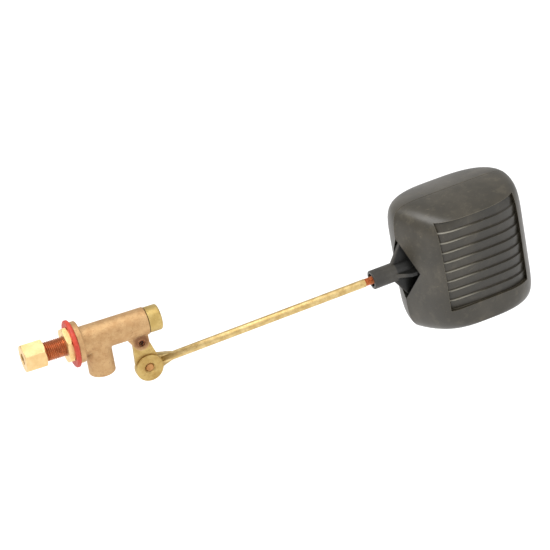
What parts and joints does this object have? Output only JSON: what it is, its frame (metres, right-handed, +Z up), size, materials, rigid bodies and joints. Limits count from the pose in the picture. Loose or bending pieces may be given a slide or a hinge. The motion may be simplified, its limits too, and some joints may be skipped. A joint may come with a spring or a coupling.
{
  "type": "float valve",
  "caption": "Tank float valve: flanged tee body with threaded inlet and down spout, lever-driven plunger, long straight arm and pillow-shaped float.",
  "frame": {"origin": "centre of the flange's sealing face, on the barrel's axis", "axes": "+X along the barrel into the tank and towards the float, +Z up, the lever swings in the XZ plane, -Y is the side with the ears' and lever's plain face"},
  "size_m": [0.303, 0.056, 0.0843],
  "materials": {
    "cast_bronze": "as-cast bronze, fine sand-cast skin, matt",
    "shank_bronze": "cut thread in reddish bronze, dull",
    "nut_brass": "bright pale brass, satin",
    "lock_nut_brass": "bright pale brass, satin",
    "ferrule_brass": "turned brass",
    "lever_brass": "rough yellow brass, tumbled",
    "plunger_brass": "turned yellow brass, satin",
    "arm_brass": "drawn brass, slightly dull",
    "screw_brass": "brass screw, reddish",
    "washer_bronze": "spring bronze",
    "pin_steel": "tarnished spring steel",
    "red_rubber": "soft red rubber, matt",
    "black_rubber": "black nitrile rubber",
    "float_plastic": "dark olive-grey moulded plastic, satin",
    "boss_plastic": "dark grey moulded plastic, satin"
  },
  "bodies": {
    "valve": {"valve_body": "cast_bronze", "inlet_nipple": "shank_bronze", "tank_washer": "red_rubber", "pivot_pin": "pin_steel"},
    "lock_nut": {"lock_nut": "lock_nut_brass"},
    "compression_nut": {"compression_nut": "nut_brass", "compression_ferrule": "ferrule_brass"},
    "plunger": {"plunger": "plunger_brass", "plunger_o_ring": "black_rubber", "seat_washer": "black_rubber"},
    "lever": {"lever": "lever_brass"},
    "clamp_screw": {"clamp_screw": "screw_brass", "lock_washer": "washer_bronze"},
    "float_arm": {"float_arm": "arm_brass"},
    "float": {"float_front_shell": "float_plastic", "float_rear_shell": "float_plastic", "float_boss": "boss_plastic"}
  },
  "joints": [
    {"name": "lever_swing", "type": "hinge", "parent": "valve", "child": "lever", "pos_m": [0.0364, 0, -0.0108], "axis": [0, -1, 0], "range_deg": [-20, 0]},
    {"name": "plunger_slide", "type": "slide", "parent": "valve", "child": "plunger", "axis": [1, 0, 0], "range_m": [0, 0.00273]},
    {"name": "arm_adjust", "type": "hinge", "parent": "lever", "child": "float_arm", "pos_m": [0.0389, 0.002, -0.0283], "axis": [0, -1, 0], "range_deg": [-45, 15]},
    {"name": "clamp_screw_turn", "type": "hinge", "parent": "lever", "child": "clamp_screw", "pos_m": [0.0389, 0.002, -0.0283], "axis": [0, -1, 0], "continuous": true},
    {"name": "float_turn", "type": "hinge", "parent": "float_arm", "child": "float", "pos_m": [0.23431, 0.002, -0.01772], "axis": [0.9985, 0, 0.0541], "continuous": true},
    {"name": "lock_nut_travel", "type": "slide", "parent": "valve", "child": "lock_nut", "axis": [-1, 0, 0], "range_m": [0, 0.011]},
    {"name": "compression_nut_turn", "type": "hinge", "parent": "valve", "child": "compression_nut", "pos_m": [-0.0228, 0, 0], "axis": [-1, 0, 0], "continuous": true}
  ],
  "couplings": [
    {"joint": "plunger_slide", "follows": "lever_swing", "m_per_rad": -0.0078}
  ]
}
